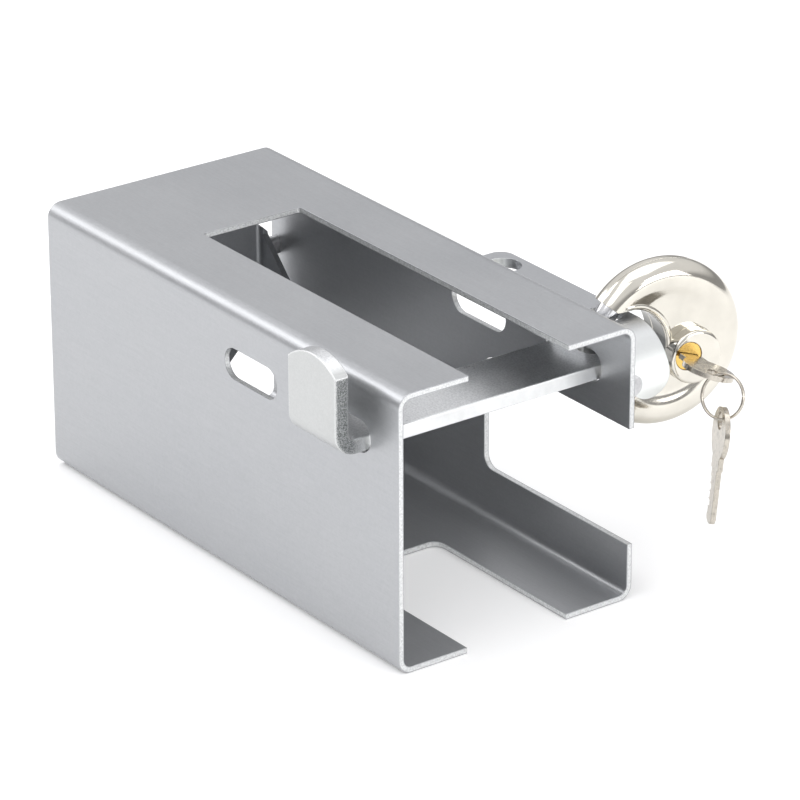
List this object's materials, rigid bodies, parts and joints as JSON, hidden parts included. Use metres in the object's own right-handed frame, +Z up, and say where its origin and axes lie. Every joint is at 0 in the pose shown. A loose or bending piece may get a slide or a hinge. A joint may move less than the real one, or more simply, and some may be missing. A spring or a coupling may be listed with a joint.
{
  "type": "trailer coupler lock",
  "caption": "Bent steel box that slips over a trailer coupler, closed by a hooked flat bar that a round padlock with a key holds through a welded ear.",
  "frame": {"origin": "on the plane of the open mouth, on the box's centre plane, at the level of the underside", "axes": "+X out of the open mouth, +Y towards the side with the welded ear, +Z up"},
  "size_m": [0.2554, 0.1926, 0.1219],
  "materials": {
    "galvanised_sheet": "zinc coated sheet, satin, with soft grain",
    "ear_steel": "zinc coated flat bar, bright at the bend",
    "weld_metal": "rippled weld bead",
    "bar_steel": "zinc coated, satin with bright worn edges",
    "padlock_stainless": "polished stainless",
    "shackle_steel": "ground and polished rod",
    "lock_steel": "plain steel, machined",
    "lock_brass": "machined brass",
    "liner_polymer": "black polymer",
    "key_nickel": "nickel plated, satin with worn edges"
  },
  "bodies": {
    "box": {"box_shell": "galvanised_sheet", "back_stop": "galvanised_sheet", "stop_welds": "weld_metal", "ear_bracket": "ear_steel", "ear_welds": "weld_metal"},
    "bar": {"locking_bar": "bar_steel"},
    "padlock": {"padlock_front_shell": "padlock_stainless", "padlock_back_shell": "padlock_stainless", "key_boss": "padlock_stainless", "throat_liner": "padlock_stainless", "throat_collar": "padlock_stainless", "shackle_guides": "liner_polymer", "lock_core": "lock_steel", "core_rivets": "lock_steel", "cylinder_body": "lock_brass", "driver_pins": "lock_brass", "pin_springs": "lock_steel"},
    "shackle": {"shackle": "shackle_steel"},
    "plug": {"plug": "lock_brass", "key_pins": "lock_brass", "plug_cam": "lock_steel", "inserted_key": "key_nickel"},
    "key_ring": {"key_ring": "key_nickel"},
    "spare_key": {"spare_key": "key_nickel"}
  },
  "joints": [
    {"name": "bar_slide", "type": "slide", "parent": "box", "child": "bar", "axis": [0, 1, 0], "range_m": [-0.002, 0.002]},
    {"name": "padlock_swing", "type": "hinge", "parent": "box", "child": "padlock", "pos_m": [-0.0333, 0.0665, 0.088], "axis": [0, 0, 1], "range_deg": [-12, 12]},
    {"name": "shackle_turn", "type": "hinge", "parent": "padlock", "child": "shackle", "pos_m": [-0.0283, 0.0899, 0.0881], "axis": [0.9854, -0.1702, 0], "range_deg": [0, 105]},
    {"name": "plug_turn", "type": "hinge", "parent": "padlock", "child": "plug", "pos_m": [-0.02709, 0.0969, 0.0841], "axis": [0.9854, -0.1702, 0], "range_deg": [0, 126.5]},
    {"name": "ring_swing", "type": "hinge", "parent": "plug", "child": "key_ring", "pos_m": [0.00286, 0.09172, 0.0841], "axis": [0.9393, 0.3014, -0.1639], "range_deg": [-8, 8]},
    {"name": "spare_key_swing", "type": "hinge", "parent": "key_ring", "child": "spare_key", "pos_m": [0.01119, 0.08904, 0.06944], "axis": [0.8818, 0.4267, 0.201], "range_deg": [-12, 12]}
  ],
  "couplings": [
    {"joint": "plug_turn", "follows": "shackle_turn", "ratio": 1.2}
  ]
}
